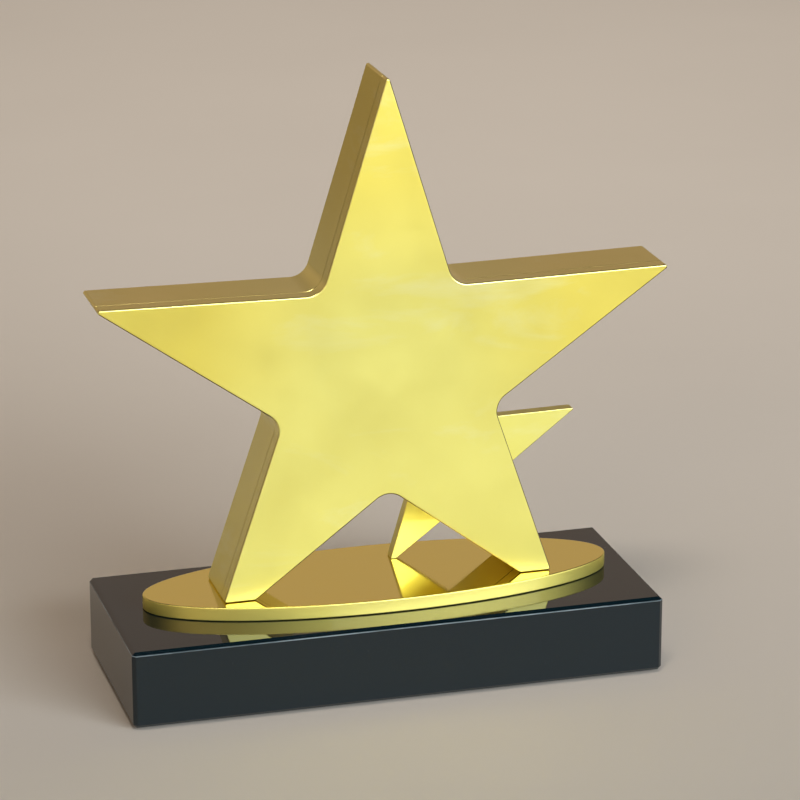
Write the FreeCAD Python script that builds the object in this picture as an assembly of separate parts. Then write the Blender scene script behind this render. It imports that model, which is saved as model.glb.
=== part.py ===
import FreeCAD, Part
import math
import os

# Star trophy. A large hollow five-pointed star and a small flat star stand on an oval
# plate, and the plate is screwed to a chamfered black block.
# Row frame in millimetres: +Z up, the stars' faces look towards -Y. The origin is on the
# table, under the middle of the large star and the middle of the block's depth.

V = FreeCAD.Vector
UP = V(0, 0, 1)
BACKWARDS = V(0, 1, 0)

# Block and its pads
block_width = 172.0
block_depth = 68.0
block_height = 25.0
block_chamfer = 1.1
block_x = -1.7
pad_radius = 6.0
pad_thickness = 1.0
pad_inset_x = 14.0
pad_inset_y = 11.0

# Oval plate and the adhesive film under it
plate_half_length = 76.4
plate_half_width = 24.6
plate_thickness = 4.4
plate_x = -0.3
plate_y = 1.5
plate_edge_round = 0.35
film_thickness = 0.1
film_inset = 2.0

# Large star, made of a shallow front shell and a deep rear shell
star_radius = 97.6
notch_ratio = 0.369
star_height_on_plate = 68.6
star_front_y = -12.2
star_thickness = 23.2
front_shell_depth = 5.1
shell_wall = 2.0
star_tip_round = 0.75
star_notch_round = 6.3
star_foot_round = 0.8
star_edge_round = 0.5
seam_bevel = 0.2
lip_length = 1.5
lip_setback = 1.0
lip_clearance = 0.1

# Small star, a flat plate fixed to the back of the large one
small_radius = 41.5
small_ratio = 0.387
small_turn = -1.2
small_x = 30.1
small_height_on_plate = 32.2
small_thickness = 4.1
small_tip_round = 0.4
small_notch_round = 2.7
small_foot_round = 0.3
small_edge_round = 0.25
bond_radius = 9.0
bond_thickness = 0.3

# Fasteners
screw_play = 0.05
base_screw_radius = 2.0
base_screw_length = 16.0
base_screw_pitch = 50.0
base_screw_head_radius = 3.5
base_screw_head_height = 4.0
base_screw_hex = 3.0
base_hole_radius = 2.5
counterbore_radius = 5.5
counterbore_depth = 13.0
washer_radius = 4.5
washer_thickness = 0.8
plate_tap_depth = 3.4
star_screw_radius = 2.0
star_screw_length = 12.0
star_screw_x = 46.4
star_screw_y = 1.0
star_screw_head_radius = 4.0
star_screw_head_height = 2.3
star_screw_hex = 2.5
foot_block_height = 9.0
small_screw_radius = 1.5
small_screw_length = 5.0
small_screw_head_radius = 2.8
small_screw_head_height = 2.0
small_screw_hex = 2.0
small_screw_drop = (6.0, -7.0)
small_screw_x = 26.6
small_tap_depth = 3.0

# Levels and planes that follow from the sizes above
block_bottom = pad_thickness
block_top = block_bottom + block_height
plate_bottom = block_top + film_thickness
plate_top = plate_bottom + plate_thickness
star_z = plate_top + star_height_on_plate
small_z = plate_top + small_height_on_plate
star_back_y = star_front_y + star_thickness
seam_y = star_front_y + front_shell_depth
rear_wall_y = star_back_y - shell_wall
small_front_y = star_back_y + bond_thickness


def star_corners(radius, ratio, turned, centre_x, centre_z, floor_z):
    """Corners of a star whose two lower points are cut level at floor_z.

    turned is how far it leans from upright in its own plane, clockwise in degrees.
    """
    ring = []
    for step in range(10):
        reach = radius if step % 2 == 0 else radius * ratio
        turn = math.radians(36 * step + turned)
        ring.append((centre_x + reach * math.sin(turn), centre_z + reach * math.cos(turn)))
    corners = []
    for index, point in enumerate(ring):
        if point[1] >= floor_z:
            corners.append(point)
            continue
        for other in (ring[index - 1], ring[(index + 1) % 10]):
            part_way = (floor_z - other[1]) / (point[1] - other[1])
            corners.append((other[0] + part_way * (point[0] - other[0]), floor_z))
    return corners


def moved_inwards(corners, distance):
    """The same clockwise outline with every side moved inwards by distance."""
    count = len(corners)
    sides = []
    for index in range(count):
        x0, z0 = corners[index]
        x1, z1 = corners[(index + 1) % count]
        length = math.hypot(x1 - x0, z1 - z0)
        dx = (x1 - x0) / length
        dz = (z1 - z0) / length
        sides.append((x0 + dz * distance, z0 - dx * distance, dx, dz))
    result = []
    for index in range(count):
        ax, az, adx, adz = sides[index - 1]
        bx, bz, bdx, bdz = sides[index]
        cross = adx * bdz - adz * bdx
        along = ((bx - ax) * bdz - (bz - az) * bdx) / cross
        result.append((ax + along * adx, az + along * adz))
    return result


def rounded_outline(corners, radii):
    """A flat face in the XZ plane whose corners are arcs of the given radii."""
    count = len(corners)
    starts = []
    ends = []
    middles = []
    for index in range(count):
        here = V(corners[index][0], 0, corners[index][1])
        before = V(corners[index - 1][0], 0, corners[index - 1][1])
        after = V(corners[(index + 1) % count][0], 0, corners[(index + 1) % count][1])
        back = (before - here).normalize()
        ahead = (after - here).normalize()
        half = math.acos(back.dot(ahead)) / 2
        setback = radii[index] / math.tan(half)
        bisector = (back + ahead).normalize()
        centre = here + bisector * (radii[index] / math.sin(half))
        starts.append(here + back * setback)
        ends.append(here + ahead * setback)
        middles.append(centre - bisector * radii[index])
    edges = []
    for index in range(count):
        edges.append(Part.Arc(starts[index], middles[index], ends[index]).toShape())
        following = (index + 1) % count
        edges.append(Part.LineSegment(ends[index], starts[following]).toShape())
    return Part.Face(Part.Wire(edges))


def star_prism(corners, rounds, inset, y0, y1):
    """A star slab from y0 to y1, inset from the outline, with its corners rounded.

    rounds gives the outline's tip, notch and foot radii.
    """
    tip, notch, foot = rounds
    radii = []
    floor_z = min(z for x, z in corners)
    for index in range(len(corners)):
        x0, z0 = corners[index - 1]
        x1, z1 = corners[index]
        x2, z2 = corners[(index + 1) % len(corners)]
        turning = (x1 - x0) * (z2 - z1) - (z1 - z0) * (x2 - x1)
        if turning > 0:
            radii.append(notch + inset)
        elif z1 - floor_z < 1e-6:
            radii.append(max(foot - inset, 0.3))
        else:
            radii.append(max(tip - inset, 0.3))
    outline = moved_inwards(corners, inset) if inset else corners
    face = rounded_outline(outline, radii)
    face.translate(V(0, y0, 0))
    return face.extrude(V(0, y1 - y0, 0))


def edges_on_plane(shape, y):
    """The edges of a slab that lie in the plane at depth y."""
    found = []
    for edge in shape.Edges:
        box = edge.BoundBox
        if abs(box.YMin - y) < 1e-5 and abs(box.YMax - y) < 1e-5:
            found.append(edge)
    return found


def upright(radius, height, x, y, z):
    return Part.makeCylinder(radius, height, V(x, y, z), UP)


def level(radius, length, x, y, z):
    return Part.makeCylinder(radius, length, V(x, y, z), BACKWARDS)


def hex_prism(across_flats, height, base, direction):
    """A hexagonal prism for a screw's key socket."""
    reach = across_flats / math.sqrt(3)
    points = []
    for step in range(7):
        turn = math.radians(60 * step)
        points.append(V(reach * math.cos(turn), reach * math.sin(turn), 0))
    prism = Part.Face(Part.makePolygon(points)).extrude(V(0, 0, height))
    prism.Placement = FreeCAD.Placement(base, FreeCAD.Rotation(UP, direction))
    return prism


def oval(half_length, half_width, z, height):
    """An oval slab centred on the plate's axis."""
    ellipse = Part.Ellipse(V(plate_x, plate_y, z), half_length, half_width)
    return Part.Face(Part.Wire(ellipse.toShape())).extrude(V(0, 0, height))


def save(shape, node):
    shape.exportStep("parts/" + node + ".step")


star_outline = star_corners(star_radius, notch_ratio, 0, 0, star_z, plate_top)
star_rounds = (star_tip_round, star_notch_round, star_foot_round)
small_outline = star_corners(small_radius, small_ratio, small_turn,
                             small_x, small_z, plate_top)
small_rounds = (small_tip_round, small_notch_round, small_foot_round)
base_screw_spots = [plate_x - base_screw_pitch / 2, plate_x + base_screw_pitch / 2]
star_screw_spots = [-star_screw_x, star_screw_x]
small_screw_spots = [small_z + drop for drop in small_screw_drop]


# Base block: polished black slab, bevelled on all its edges, with two counterbored
# holes from below for the screws that hold the plate.
def make_block():
    corner = V(block_x - block_width / 2, -block_depth / 2, block_bottom)
    block = Part.makeBox(block_width, block_depth, block_height, corner)
    block = block.makeChamfer(block_chamfer, block.Edges)
    for x in base_screw_spots:
        block = block.cut(upright(base_hole_radius, block_height, x, plate_y, block_bottom))
        block = block.cut(upright(counterbore_radius, counterbore_depth, x, plate_y, block_bottom))
    return block


# Four soft pads under the block's corners keep it off the table.
def make_pad(side_x, side_y):
    x = block_x + side_x * (block_width / 2 - pad_inset_x)
    y = side_y * (block_depth / 2 - pad_inset_y)
    pad = upright(pad_radius, pad_thickness, x, y, 0)
    rim = [edge for edge in pad.Edges if edge.BoundBox.ZMax < 1e-6]
    return pad.makeFillet(0.25, rim)


# Thin black adhesive film, set back from the plate's rim, so a dark line shows there.
def make_film():
    film = oval(plate_half_length - film_inset, plate_half_width - film_inset,
                block_top, film_thickness)
    for x in base_screw_spots:
        film = film.cut(upright(base_hole_radius, film_thickness, x, plate_y, block_top))
    return film


# Oval plate: its rim is eased above and below. Two blind tapped holes take the base
# screws, and two countersunk holes pass the screws that go up into the star's feet.
def make_plate():
    plate = oval(plate_half_length, plate_half_width, plate_bottom, plate_thickness)
    rims = [edge for edge in plate.Edges
            if edge.BoundBox.ZMax - edge.BoundBox.ZMin < 1e-6]
    plate = plate.makeFillet(plate_edge_round, rims)
    tap = base_screw_radius + screw_play
    for x in base_screw_spots:
        plate = plate.cut(upright(tap, plate_tap_depth, x, plate_y, plate_bottom))
    clearance = star_screw_radius + 0.2
    for x in star_screw_spots:
        plate = plate.cut(upright(clearance, plate_thickness, x, star_screw_y, plate_bottom))
        sink = Part.makeCone(star_screw_head_radius + 0.2, clearance,
                             star_screw_head_height, V(x, star_screw_y, plate_bottom), UP)
        plate = plate.cut(sink)
    return plate


# Front shell: the star's face with a short wall behind it. Its wall is rebated inside
# to take the rear shell's lip, and a fine bevel marks the seam.
def make_front_shell():
    shell = star_prism(star_outline, star_rounds, 0, star_front_y, seam_y)
    shell = shell.makeFillet(star_edge_round, edges_on_plane(shell, star_front_y))
    shell = shell.makeChamfer(seam_bevel, edges_on_plane(shell, seam_y))
    hollow = star_prism(star_outline, star_rounds, shell_wall,
                        star_front_y + shell_wall, seam_y)
    rebate = star_prism(star_outline, star_rounds, lip_setback - lip_clearance,
                        seam_y - lip_length - lip_clearance, seam_y)
    return shell.cut(hollow).cut(rebate)


# Rear shell: the deep part of the star, with a lip that centres the front shell, a hole
# in each foot and two holes in its back wall for the small star's screws.
def make_rear_shell():
    shell = star_prism(star_outline, star_rounds, 0, seam_y, star_back_y)
    shell = shell.makeFillet(star_edge_round, edges_on_plane(shell, star_back_y))
    shell = shell.makeChamfer(seam_bevel, edges_on_plane(shell, seam_y))
    lip = star_prism(star_outline, star_rounds, lip_setback, seam_y - lip_length, seam_y)
    hollow = star_prism(star_outline, star_rounds, shell_wall,
                        seam_y - lip_length, rear_wall_y)
    shell = shell.fuse(lip).cut(hollow)
    for x in star_screw_spots:
        hole = upright(star_screw_radius + 0.2, shell_wall + 1, x, star_screw_y, plate_top)
        shell = shell.cut(hole)
    for z in small_screw_spots:
        hole = level(small_screw_radius + 0.2, shell_wall, small_screw_x, rear_wall_y, z)
        shell = shell.cut(hole)
    return shell


# Foot block: a tapped steel block that fills the inside of each foot.
def make_foot_block(side):
    inset = shell_wall + 0.1
    filling = star_prism(star_outline, star_rounds, inset, seam_y + 0.2, rear_wall_y - 0.1)
    floor_z = plate_top + inset
    slab = Part.makeBox(star_radius, star_thickness, foot_block_height,
                        V(0 if side > 0 else -star_radius, star_front_y, floor_z))
    block = filling.common(slab)
    tap = upright(star_screw_radius + screw_play, foot_block_height,
                  side * star_screw_x, star_screw_y, floor_z)
    return block.cut(tap)


# Countersunk screw with a key socket, its head flush under the plate.
def make_star_screw(x):
    base = V(x, star_screw_y, plate_bottom)
    screw = Part.makeCone(star_screw_head_radius, star_screw_radius,
                          star_screw_head_height, base, UP)
    shank = upright(star_screw_radius, star_screw_length, x, star_screw_y, plate_bottom)
    end = [edge for edge in shank.Edges
           if edge.BoundBox.ZMin > plate_bottom + star_screw_length - 1e-6]
    shank = shank.makeChamfer(0.5, end)
    return screw.fuse(shank).cut(hex_prism(star_screw_hex, 1.3, base, UP)).removeSplitter()


# Cap screw from below the block into the plate, over a washer.
def make_base_screw(x):
    seat = block_bottom + counterbore_depth - washer_thickness
    head_bottom = seat - base_screw_head_height
    head = upright(base_screw_head_radius, base_screw_head_height, x, plate_y, head_bottom)
    head_rim = [edge for edge in head.Edges if edge.BoundBox.ZMax < head_bottom + 1e-6]
    head = head.makeFillet(0.4, head_rim)
    shank = upright(base_screw_radius, base_screw_length, x, plate_y, seat)
    end = [edge for edge in shank.Edges
           if edge.BoundBox.ZMin > seat + base_screw_length - 1e-6]
    shank = shank.makeChamfer(0.5, end)
    socket = hex_prism(base_screw_hex, 2.0, V(x, plate_y, head_bottom), UP)
    return head.fuse(shank).cut(socket)


def make_washer(x):
    seat = block_bottom + counterbore_depth - washer_thickness
    washer = upright(washer_radius, washer_thickness, x, plate_y, seat)
    return washer.cut(upright(base_screw_radius + 0.15, washer_thickness, x, plate_y, seat))


# Small star: a solid flat star with eased edges and two blind tapped holes in its face.
def make_small_star():
    back_y = small_front_y + small_thickness
    star = star_prism(small_outline, small_rounds, 0, small_front_y, back_y)
    rims = edges_on_plane(star, small_front_y) + edges_on_plane(star, back_y)
    star = star.makeFillet(small_edge_round, rims)
    tap = small_screw_radius + screw_play
    for z in small_screw_spots:
        star = star.cut(level(tap, small_tap_depth, small_screw_x, small_front_y, z))
    return star


# Thin bonding pad between the two stars.
def make_bond():
    pad = level(bond_radius, bond_thickness, small_x - 1, star_back_y, small_z)
    for z in small_screw_spots:
        hole = level(small_screw_radius + 0.2, bond_thickness, small_screw_x, star_back_y, z)
        pad = pad.cut(hole)
    return pad


# Pan screw from inside the rear shell into the small star.
def make_small_screw(z):
    head_y = rear_wall_y - small_screw_head_height
    head = level(small_screw_head_radius, small_screw_head_height, small_screw_x, head_y, z)
    rim = [edge for edge in head.Edges if edge.BoundBox.YMax < head_y + 1e-6]
    head = head.makeFillet(0.6, rim)
    shank = level(small_screw_radius, small_screw_length, small_screw_x, rear_wall_y, z)
    socket = hex_prism(small_screw_hex, 1.2, V(small_screw_x, head_y, z), BACKWARDS)
    return head.fuse(shank).cut(socket)


save(make_block(), "base_block")
for side_y, row in ((-1, "front"), (1, "rear")):
    for side_x, hand in ((-1, "left"), (1, "right")):
        save(make_pad(side_x, side_y), "foot_pad_" + row + "_" + hand)
save(make_film(), "plate_film")
save(make_plate(), "oval_plate")
save(make_front_shell(), "star_front_shell")
save(make_rear_shell(), "star_rear_shell")
save(make_foot_block(-1), "star_foot_block_left")
save(make_foot_block(1), "star_foot_block_right")
save(Part.makeCompound([make_star_screw(x) for x in star_screw_spots]), "star_screws")
save(Part.makeCompound([make_base_screw(x) for x in base_screw_spots]), "base_screws")
save(Part.makeCompound([make_washer(x) for x in base_screw_spots]), "base_washers")
save(make_small_star(), "small_star")
save(make_bond(), "small_star_bond")
save(Part.makeCompound([make_small_screw(z) for z in small_screw_spots]), "small_star_screws")
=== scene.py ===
import math

import bpy
from mathutils import Matrix, Vector


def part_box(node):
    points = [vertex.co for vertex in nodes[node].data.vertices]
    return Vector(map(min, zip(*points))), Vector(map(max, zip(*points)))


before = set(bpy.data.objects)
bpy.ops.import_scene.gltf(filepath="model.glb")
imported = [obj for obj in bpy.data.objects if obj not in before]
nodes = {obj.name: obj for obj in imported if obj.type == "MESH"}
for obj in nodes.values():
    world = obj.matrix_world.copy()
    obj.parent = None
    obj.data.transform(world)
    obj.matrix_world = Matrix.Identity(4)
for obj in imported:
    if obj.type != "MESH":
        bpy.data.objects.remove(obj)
bpy.ops.object.select_all(action="DESELECT")
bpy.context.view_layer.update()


# ---------------------------------------------------------------- base block
# A slab of opaque black crystal, cast, sawn, and then ground and polished on every face.
# Its edges are bevelled on a finer wheel, and two holes from below take the plate's screws.

bevel_width = 0.0011
arris_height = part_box("base_block")[1][2] - bevel_width
full_highlight_within = 0.00006
no_highlight_beyond = 0.00022
dust_dulling = 0.25


def linear(hex_colour):
    """An sRGB hex colour as linear red, green, blue and alpha."""
    channels = []
    for start in (1, 3, 5):
        value = int(hex_colour[start:start + 2], 16) / 255
        channels.append(value / 12.92 if value <= 0.04045 else ((value + 0.055) / 1.055) ** 2.4)
    return (*channels, 1.0)


def per_metre(size_mm):
    """The pattern scale at which one feature of a texture is size_mm across."""
    return 1000 / size_mm


def add_node(tree, kind, inputs=None, **settings):
    """Adds a node with its settings. inputs gives each socket a value, or a socket to link."""
    node = tree.nodes.new(kind)
    for name, value in settings.items():
        setattr(node, name, value)
    for socket, value in (inputs or {}).items():
        if isinstance(value, bpy.types.NodeSocket):
            tree.links.new(value, node.inputs[socket])
        else:
            node.inputs[socket].default_value = value
    return node


def start_material(name):
    """An empty node material. Gives back the material, its tree and its Object coordinates."""
    material = bpy.data.materials.new(name)
    material.use_nodes = True
    material.node_tree.nodes.clear()
    place = add_node(material.node_tree, "ShaderNodeTexCoord").outputs["Object"]
    return material, material.node_tree, place


def dress(material, *names):
    """Gives CAD nodes this one material all over."""
    for name in names:
        slots = nodes[name].data.materials
        slots.clear()
        slots.append(material)


# Polished black crystal (lead glass, IOR 1.54): a deep, slightly blue black under a wet gloss.
# A faint bloom from handling dulls the gloss in patches, fine dust sits on it, and the
# bevels, which are only fine-ground, reflect a little softer than the faces. A broken pale
# hairline is painted along the arris where the sides meet the top bevel, as a painted highlight.
crystal, tree, place = start_material("polished_black_crystal")
bloom = add_node(tree, "ShaderNodeTexNoise", {
    "Vector": place, "Scale": per_metre(22), "Detail": 5.0, "Roughness": 0.6})
bloom_gloss = add_node(tree, "ShaderNodeMapRange", {
    "Value": bloom.outputs["Fac"], "From Min": 0.4, "From Max": 0.72,
    "To Min": 0.035, "To Max": 0.12})
dust = add_node(tree, "ShaderNodeTexVoronoi", {"Vector": place, "Scale": per_metre(5.5)})
dust_speck = add_node(tree, "ShaderNodeMapRange", {
    "Value": dust.outputs["Distance"], "From Min": 0.02, "From Max": 0.035,
    "To Min": 1.0, "To Max": 0.0})
facing = add_node(tree, "ShaderNodeNewGeometry")
turned = add_node(tree, "ShaderNodeVectorMath", {
    0: facing.outputs["True Normal"]}, operation="ABSOLUTE")
sides = add_node(tree, "ShaderNodeSeparateXYZ", {"Vector": turned.outputs["Vector"]})
flatter = add_node(tree, "ShaderNodeMath", {
    0: sides.outputs["X"], 1: sides.outputs["Y"]}, operation="MAXIMUM")
flattest = add_node(tree, "ShaderNodeMath", {
    0: flatter.outputs[0], 1: sides.outputs["Z"]}, operation="MAXIMUM")
on_bevel = add_node(tree, "ShaderNodeMapRange", {
    "Value": flattest.outputs[0], "From Min": 0.8, "From Max": 0.95,
    "To Min": 0.08, "To Max": 0.0})
gloss = add_node(tree, "ShaderNodeMath", {
    0: bloom_gloss.outputs["Result"], 1: on_bevel.outputs["Result"]}, operation="ADD")
dusty_gloss = add_node(tree, "ShaderNodeMath", {
    0: dust_speck.outputs["Result"], 1: dust_dulling, 2: gloss.outputs[0]},
    operation="MULTIPLY_ADD")
dusty_colour = add_node(tree, "ShaderNodeMix", {
    "Factor": dust_speck.outputs["Result"], "A": linear("#02141A"), "B": linear("#30363A")},
    data_type="RGBA")
level = add_node(tree, "ShaderNodeSeparateXYZ", {"Vector": place})
above_arris = add_node(tree, "ShaderNodeMath", {
    0: level.outputs["Z"], 1: arris_height}, operation="SUBTRACT")
off_arris = add_node(tree, "ShaderNodeMath", {0: above_arris.outputs[0]}, operation="ABSOLUTE")
on_arris = add_node(tree, "ShaderNodeMapRange", {
    "Value": off_arris.outputs[0], "From Min": full_highlight_within, "From Max": no_highlight_beyond,
    "To Min": 1.0, "To Max": 0.0})
highlight_breaks = add_node(tree, "ShaderNodeMapRange", {
    "Value": bloom.outputs["Fac"], "From Min": 0.4, "From Max": 0.6,
    "To Min": 0.35, "To Max": 0.9})
painted_arris_highlight = add_node(tree, "ShaderNodeMath", {
    0: on_arris.outputs["Result"], 1: highlight_breaks.outputs["Result"]}, operation="MULTIPLY")
# The arris gets a pale, broken hairline in its colour: a painted highlight.
colour = add_node(tree, "ShaderNodeMix", {
    "Factor": painted_arris_highlight.outputs[0], "A": dusty_colour.outputs["Result"], "B": linear("#8E9A9E")},
    data_type="RGBA")
waviness = add_node(tree, "ShaderNodeTexNoise", {
    "Vector": place, "Scale": per_metre(16), "Detail": 1.0})
wave_bump = add_node(tree, "ShaderNodeBump", {
    "Strength": 0.06, "Distance": 0.0001, "Height": waviness.outputs["Fac"]})
skin = add_node(tree, "ShaderNodeBsdfPrincipled", {
    "Base Color": colour.outputs["Result"], "Roughness": dusty_gloss.outputs[0], "IOR": 1.54,
    "Normal": wave_bump.outputs["Normal"]})
add_node(tree, "ShaderNodeOutputMaterial", {"Surface": skin.outputs["BSDF"]})
dress(crystal, "base_block")


# ---------------------------------------------------------------- pads
# Four soft pads, punched from sheet foam rubber and stuck under the block's corners.
# They lift it by a millimetre, which leaves the dark line along its foot.

# Black foam rubber: matt, with a skin of fine open cells.
foam, tree, place = start_material("black_foam_rubber")
cells = add_node(tree, "ShaderNodeTexVoronoi", {"Vector": place, "Scale": per_metre(0.5)})
cell_shade = add_node(tree, "ShaderNodeValToRGB", {"Fac": cells.outputs["Distance"]})
cell_shade.color_ramp.elements[0].color = linear("#0E0E0E")
cell_shade.color_ramp.elements[1].color = linear("#242423")
cell_bump = add_node(tree, "ShaderNodeBump", {
    "Strength": 0.6, "Distance": 0.0002, "Height": cells.outputs["Distance"]})
skin = add_node(tree, "ShaderNodeBsdfPrincipled", {
    "Base Color": cell_shade.outputs["Color"], "Roughness": 0.9,
    "Normal": cell_bump.outputs["Normal"]})
add_node(tree, "ShaderNodeOutputMaterial", {"Surface": skin.outputs["BSDF"]})
dress(foam, "foot_pad_front_left", "foot_pad_front_right",
      "foot_pad_rear_left", "foot_pad_rear_right")


# ---------------------------------------------------------------- film
# A die-cut oval of thin black transfer adhesive between the plate and the block.
# It stops short of the plate's rim, so only a dark hairline of it can be seen.

# Black acrylic adhesive: half gloss, slightly dimpled where it has wetted the metal unevenly.
adhesive, tree, place = start_material("black_transfer_adhesive")
dimples = add_node(tree, "ShaderNodeTexNoise", {
    "Vector": place, "Scale": per_metre(1.2), "Detail": 3.0})
dimple_gloss = add_node(tree, "ShaderNodeMapRange", {
    "Value": dimples.outputs["Fac"], "From Min": 0.3, "From Max": 0.7,
    "To Min": 0.35, "To Max": 0.6})
dimple_bump = add_node(tree, "ShaderNodeBump", {
    "Strength": 0.3, "Distance": 0.0001, "Height": dimples.outputs["Fac"]})
skin = add_node(tree, "ShaderNodeBsdfPrincipled", {
    "Base Color": linear("#0C0C0C"), "Roughness": dimple_gloss.outputs["Result"],
    "Normal": dimple_bump.outputs["Normal"]})
add_node(tree, "ShaderNodeOutputMaterial", {"Surface": skin.outputs["BSDF"]})
dress(adhesive, "plate_film")


# ---------------------------------------------------------------- oval plate
# A thick oval of brass, its top buffed bright and its rim left satin from the cutter,
# then plated in gold colour and lacquered. The stars' feet stand on it.

# Bright gold plating: the top is nearly a mirror with a breath of haze, and the rim is satin.
plate_gold, tree, place = start_material("bright_gold_plating_lacquered")
facing = add_node(tree, "ShaderNodeNewGeometry")
sides = add_node(tree, "ShaderNodeSeparateXYZ", {"Vector": facing.outputs["True Normal"]})
on_top = add_node(tree, "ShaderNodeMapRange", {
    "Value": sides.outputs["Z"], "From Min": 0.75, "From Max": 0.97})
haze = add_node(tree, "ShaderNodeTexNoise", {
    "Vector": place, "Scale": per_metre(14), "Detail": 5.0, "Roughness": 0.6})
top_gloss = add_node(tree, "ShaderNodeMapRange", {
    "Value": haze.outputs["Fac"], "From Min": 0.35, "From Max": 0.7,
    "To Min": 0.05, "To Max": 0.11})
rim_grain = add_node(tree, "ShaderNodeTexNoise", {
    "Vector": place, "Scale": per_metre(0.5), "Detail": 3.0})
rim_gloss = add_node(tree, "ShaderNodeMapRange", {
    "Value": rim_grain.outputs["Fac"], "From Min": 0.3, "From Max": 0.7,
    "To Min": 0.44, "To Max": 0.54})
gloss = add_node(tree, "ShaderNodeMix", {
    "Factor": on_top.outputs["Result"], "A": rim_gloss.outputs["Result"],
    "B": top_gloss.outputs["Result"]})
top_tone = add_node(tree, "ShaderNodeMix", {
    "Factor": haze.outputs["Fac"], "A": linear("#F9E46E"), "B": linear("#FBE878")},
    data_type="RGBA")
# The rim is painted a lighter, warmer gold than the top: painted light on the rim.
tone = add_node(tree, "ShaderNodeMix", {
    "Factor": on_top.outputs["Result"], "A": linear("#FFEE7E"), "B": top_tone.outputs["Result"]},
    data_type="RGBA")
grain_bump = add_node(tree, "ShaderNodeBump", {
    "Strength": 0.05, "Distance": 0.00005, "Height": rim_grain.outputs["Fac"]})
skin = add_node(tree, "ShaderNodeBsdfPrincipled", {
    "Base Color": tone.outputs["Result"], "Metallic": 1.0, "Roughness": gloss.outputs["Result"],
    "Coat Weight": 0.3, "Coat Roughness": 0.05, "Normal": grain_bump.outputs["Normal"]})
add_node(tree, "ShaderNodeOutputMaterial", {"Surface": skin.outputs["BSDF"]})
dress(plate_gold, "oval_plate")


# ---------------------------------------------------------------- large star
# A hollow zinc casting in two shells, a shallow face and a deep back that meet in a fine
# seam. Both are bead-blasted, plated in gold colour and sprayed with clear lacquer.

star_middle = (0.0, 0.0, 0.1)
foot_height = 0.03
tip_height = 0.2
foot_coarseness = 0.21
foot_falloff = 3.0
arms_from_middle = (0.025, 0.065)
arms_from_height = (0.075, 0.105)
painted_shade_side = (0.6, 0.0, -0.8)
buffed_edge_gloss = 0.32
streak_lean = 0.7
streak_stretch = 3.0

# Satin gold plating: an even sheen with a very fine blasted grain and soft clouds in its
# tone, blasted a little coarser towards the feet and a deeper amber out on the upper arms.
# Faint pale streaks are painted on the face as a painted reflection. The rounded edges
# get a painted highlight, a thin light line along the face, and where they face down and
# to the right they get a dark painted shade instead. The lacquer adds small sharp highlights.
satin_gold, tree, place = start_material("satin_gold_plating_lacquered")
clouds = add_node(tree, "ShaderNodeTexNoise", {
    "Vector": place, "Scale": per_metre(30), "Detail": 4.0, "Roughness": 0.55})
cloud_gloss = add_node(tree, "ShaderNodeMapRange", {
    "Value": clouds.outputs["Fac"], "From Min": 0.35, "From Max": 0.65,
    "To Min": 0.325, "To Max": 0.385})
height = add_node(tree, "ShaderNodeSeparateXYZ", {"Vector": place})
low_down = add_node(tree, "ShaderNodeMapRange", {
    "Value": height.outputs["Z"], "From Min": foot_height, "From Max": tip_height,
    "To Min": 1.0, "To Max": 0.0})
coarser = add_node(tree, "ShaderNodeMath", {
    0: low_down.outputs["Result"], 1: foot_falloff}, operation="POWER")
even_gloss = add_node(tree, "ShaderNodeMath", {
    0: coarser.outputs[0], 1: foot_coarseness, 2: cloud_gloss.outputs["Result"]},
    operation="MULTIPLY_ADD")
blasting = add_node(tree, "ShaderNodeTexNoise", {
    "Vector": place, "Scale": per_metre(0.45), "Detail": 3.0})
grain_gloss = add_node(tree, "ShaderNodeMapRange", {
    "Value": blasting.outputs["Fac"], "From Min": 0.3, "From Max": 0.7,
    "To Min": -0.03, "To Max": 0.03})
blasted_gloss = add_node(tree, "ShaderNodeMath", {
    0: even_gloss.outputs[0], 1: grain_gloss.outputs["Result"]}, operation="ADD")
facing = add_node(tree, "ShaderNodeNewGeometry")
sides = add_node(tree, "ShaderNodeSeparateXYZ", {"Vector": facing.outputs["Normal"]})
# The normal's Y is 0 on the side walls, 1 on the face and back, and between on the rounded edges.
front_or_back = add_node(tree, "ShaderNodeMath", {0: sides.outputs["Y"]}, operation="ABSOLUTE")
on_edge = add_node(tree, "ShaderNodeValToRGB", {"Fac": front_or_back.outputs[0]})
ramp = on_edge.color_ramp.elements
wall_ends, edge_starts, edge_ends, face_starts = 0.08, 0.25, 0.93, 0.995
ramp[0].position, ramp[0].color = wall_ends, (0, 0, 0, 1)
ramp[1].position, ramp[1].color = face_starts, (0, 0, 0, 1)
for position in (edge_starts, edge_ends):
    ramp.new(position).color = (1, 1, 1, 1)
gloss = add_node(tree, "ShaderNodeMix", {
    "Factor": on_edge.outputs["Color"], "A": blasted_gloss.outputs[0], "B": buffed_edge_gloss})
middle_tone = add_node(tree, "ShaderNodeMix", {
    "Factor": clouds.outputs["Fac"], "A": linear("#EFE270"), "B": linear("#F6EC86")},
    data_type="RGBA")
from_middle = add_node(tree, "ShaderNodeVectorMath", {
    0: place, 1: star_middle}, operation="DISTANCE")
far_out = add_node(tree, "ShaderNodeMapRange", {
    "Value": from_middle.outputs["Value"],
    "From Min": arms_from_middle[0], "From Max": arms_from_middle[1]})
arms_up = add_node(tree, "ShaderNodeMapRange", {
    "Value": height.outputs["Z"],
    "From Min": arms_from_height[0], "From Max": arms_from_height[1]})
on_arms = add_node(tree, "ShaderNodeMath", {
    0: far_out.outputs["Result"], 1: arms_up.outputs["Result"]}, operation="MULTIPLY")
clean_tone = add_node(tree, "ShaderNodeMix", {
    "Factor": on_arms.outputs[0], "A": middle_tone.outputs["Result"], "B": linear("#F3DE62")},
    data_type="RGBA")
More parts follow.
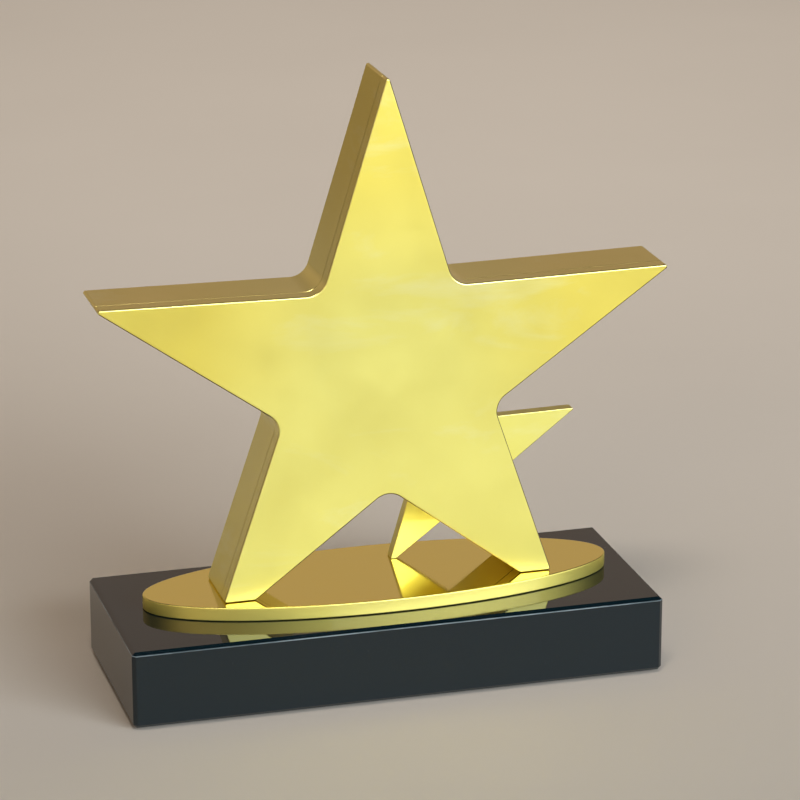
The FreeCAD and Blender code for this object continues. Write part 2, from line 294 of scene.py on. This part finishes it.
# Faint pale leaning streaks are painted on the face: a painted reflection.
streak_way = add_node(tree, "ShaderNodeMapping", {
    "Vector": place, "Rotation": (0.0, streak_lean, 0.0), "Scale": (1.0, 1.0, streak_stretch)})
streak_noise = add_node(tree, "ShaderNodeTexNoise", {
    "Vector": streak_way.outputs["Vector"], "Scale": per_metre(48), "Detail": 7.0,
    "Roughness": 0.62, "Distortion": 0.5})
painted_streak_reflection = add_node(tree, "ShaderNodeMapRange", {
    "Value": streak_noise.outputs["Fac"], "From Min": 0.55, "From Max": 0.75,
    "To Min": 0.0, "To Max": 0.45})
tone = add_node(tree, "ShaderNodeMix", {
    "Factor": painted_streak_reflection.outputs["Result"], "A": clean_tone.outputs["Result"],
    "B": linear("#F8F3B4")}, data_type="RGBA")
# Edges facing down and to the right are painted dark (painted shade), and the other edges pale
# (painted highlight).
towards_shade_side = add_node(tree, "ShaderNodeVectorMath", {
    0: facing.outputs["Normal"], 1: painted_shade_side}, operation="DOT_PRODUCT")
in_painted_shade = add_node(tree, "ShaderNodeMapRange", {
    "Value": towards_shade_side.outputs["Value"], "From Min": 0.05, "From Max": 0.2})
painted_edge_tone = add_node(tree, "ShaderNodeMix", {
    "Factor": in_painted_shade.outputs["Result"], "A": linear("#FCEC90"), "B": linear("#7A6022")},
    data_type="RGBA")
tone_with_painted_edges = add_node(tree, "ShaderNodeMix", {
    "Factor": on_edge.outputs["Color"], "A": tone.outputs["Result"],
    "B": painted_edge_tone.outputs["Result"]}, data_type="RGBA")
grain_bump = add_node(tree, "ShaderNodeBump", {
    "Strength": 0.1, "Distance": 0.00008, "Height": blasting.outputs["Fac"]})
skin = add_node(tree, "ShaderNodeBsdfPrincipled", {
    "Base Color": tone_with_painted_edges.outputs["Result"], "Metallic": 1.0,
    "Roughness": gloss.outputs["Result"], "Coat Weight": 0.6, "Coat Roughness": 0.06,
    "Normal": grain_bump.outputs["Normal"]})
add_node(tree, "ShaderNodeOutputMaterial", {"Surface": skin.outputs["BSDF"]})
dress(satin_gold, "star_front_shell", "star_rear_shell")


# ---------------------------------------------------------------- small star
# A solid flat star, laser-cut from brass plate, with its cut edges broken by tumbling. It is
# blasted, plated and lacquered with the large star, and stands bonded to that star's back.
dress(satin_gold, "small_star")

# Clear bonding pad: soft milky acrylic with small trapped bubbles. It fills the thin gap
# between the stars, and only shows as a grey line when seen edge on.
bond, tree, place = start_material("milky_acrylic_bonding_pad")
bubbles = add_node(tree, "ShaderNodeTexVoronoi", {"Vector": place, "Scale": per_metre(0.8)})
bubble_gloss = add_node(tree, "ShaderNodeMapRange", {
    "Value": bubbles.outputs["Distance"], "From Min": 0.1, "From Max": 0.6,
    "To Min": 0.3, "To Max": 0.5})
bubble_bump = add_node(tree, "ShaderNodeBump", {
    "Strength": 0.3, "Distance": 0.0001, "Height": bubbles.outputs["Distance"]})
skin = add_node(tree, "ShaderNodeBsdfPrincipled", {
    "Base Color": linear("#C9CAC6"), "Roughness": bubble_gloss.outputs["Result"], "IOR": 1.49,
    "Normal": bubble_bump.outputs["Normal"]})
add_node(tree, "ShaderNodeOutputMaterial", {"Surface": skin.outputs["BSDF"]})
dress(bond, "small_star_bond")


# ---------------------------------------------------------------- fasteners
# Steel screws, washers and foot blocks, all zinc plated. They hold the stars to each other
# and the plate, and the plate to the block, and only show from below.

# Zinc plating: a cool grey metal with a fine crystalline spangle, so its gloss is uneven.
zinc, tree, place = start_material("zinc_plated_steel")
spangle = add_node(tree, "ShaderNodeTexNoise", {
    "Vector": place, "Scale": per_metre(1.1), "Detail": 3.0})
spangle_gloss = add_node(tree, "ShaderNodeMapRange", {
    "Value": spangle.outputs["Fac"], "From Min": 0.3, "From Max": 0.7,
    "To Min": 0.22, "To Max": 0.42})
skin = add_node(tree, "ShaderNodeBsdfPrincipled", {
    "Base Color": linear("#B9BBBE"), "Metallic": 1.0, "Roughness": spangle_gloss.outputs["Result"]})
add_node(tree, "ShaderNodeOutputMaterial", {"Surface": skin.outputs["BSDF"]})
dress(zinc, "star_foot_block_left", "star_foot_block_right", "star_screws", "base_screws",
      "base_washers", "small_star_screws")


# ---------------------------------------------------------------- floor, light and camera
# A pale matt floor in a plain room. Cool daylight comes from a large window in front and to
# the right, and a little warm room light from the left. A lamp above lights the floor behind.

floor_radius = 6.0
bpy.ops.mesh.primitive_circle_add(vertices=128, radius=floor_radius, fill_type="NGON")
floor = bpy.context.object
floor.name = "studio_floor"

# Pale matt paint: an even warm white with a faint soft mottle, and almost no shine.
paint, tree, place = start_material("pale_matt_floor")
mottle = add_node(tree, "ShaderNodeTexNoise", {
    "Vector": place, "Scale": per_metre(180), "Detail": 3.0})
shade = add_node(tree, "ShaderNodeMix", {
    "Factor": mottle.outputs["Fac"], "A": linear("#D3C9BB"), "B": linear("#D9CFC1")},
    data_type="RGBA")
skin = add_node(tree, "ShaderNodeBsdfPrincipled", {
    "Base Color": shade.outputs["Result"], "Roughness": 0.7, "Specular IOR Level": 0.3})
add_node(tree, "ShaderNodeOutputMaterial", {"Surface": skin.outputs["BSDF"]})
floor.data.materials.append(paint)

# The room: a warm grey wall behind, and a dark ceiling and dark walls on the other sides.
room = bpy.data.worlds.new("studio_room")
room.use_nodes = True
tree = room.node_tree
tree.nodes.clear()
heading = add_node(tree, "ShaderNodeTexCoord").outputs["Generated"]
bearing = add_node(tree, "ShaderNodeSeparateXYZ", {"Vector": heading})
towards_back = add_node(tree, "ShaderNodeMapRange", {
    "Value": bearing.outputs["Y"], "From Min": 0.1, "From Max": 0.9},
    interpolation_type="SMOOTHSTEP")
below_ceiling = add_node(tree, "ShaderNodeMapRange", {
    "Value": bearing.outputs["Z"], "From Min": 0.35, "From Max": 0.65,
    "To Min": 1.0, "To Max": 0.1}, interpolation_type="SMOOTHSTEP")
back_wall = add_node(tree, "ShaderNodeMath", {
    0: towards_back.outputs["Result"], 1: below_ceiling.outputs["Result"]}, operation="MULTIPLY")
walls = add_node(tree, "ShaderNodeMix", {
    "Factor": back_wall.outputs[0], "A": linear("#33312F"), "B": linear("#B29E8D")},
    data_type="RGBA")
air = add_node(tree, "ShaderNodeBackground", {"Color": walls.outputs["Result"], "Strength": 1.0})
add_node(tree, "ShaderNodeOutputWorld", {"Surface": air.outputs["Background"]})
bpy.context.scene.world = room


def softbox(name, place, aim, size, power, colour, spread=180):
    """A rectangular area light at place, turned to face aim. spread is its beam in degrees."""
    lamp = bpy.data.lights.new(name, "AREA")
    lamp.shape = "RECTANGLE"
    lamp.size, lamp.size_y = size
    lamp.energy = power
    lamp.color = linear(colour)[:3]
    lamp.spread = math.radians(spread)
    box = bpy.data.objects.new(name, lamp)
    box.location = place
    box.rotation_euler = (Vector(aim) - Vector(place)).to_track_quat("-Z", "Y").to_euler()
    box.visible_camera = False
    bpy.context.scene.collection.objects.link(box)


softbox("window_light", place=(1.2, -2.45, 0.94), aim=(0, 0, 0.07), size=(2.2, 1.25),
        power=100.0, colour="#E6F2FF")
softbox("left_light", place=(-1.3, -1.6, 0.8), aim=(0, 0, 0.08), size=(1.0, 0.8),
        power=7.0, colour="#FFE6C8")
softbox("back_light", place=(-0.3, -0.8, 2.2), aim=(0.4, 1.3, 0), size=(0.8, 0.8),
        power=7.0, colour="#FFF6EE", spread=60)

# A long lens, level to within a tenth of a degree, that looks down on the front from the left.
camera_place = (-0.28744, -1.03433, 0.44233)
camera_heading = math.radians(15.892)
camera_tilt = math.radians(18.226)
camera_roll = math.radians(0.084)
film_width = 36
focal_length = 161.65
view_depth = 50
lens = bpy.data.cameras.new("camera")
lens.sensor_width = film_width
lens.lens = focal_length
lens.clip_end = view_depth
camera = bpy.data.objects.new("camera", lens)
camera.matrix_world = (Matrix.Translation(camera_place)
                       @ Matrix.Rotation(-camera_heading, 4, "Z")
                       @ Matrix.Rotation(math.pi / 2 - camera_tilt, 4, "X")
                       @ Matrix.Rotation(-camera_roll, 4, "Z"))
bpy.context.scene.collection.objects.link(camera)
bpy.context.scene.camera = camera
bpy.context.scene.view_settings.view_transform = "Standard"
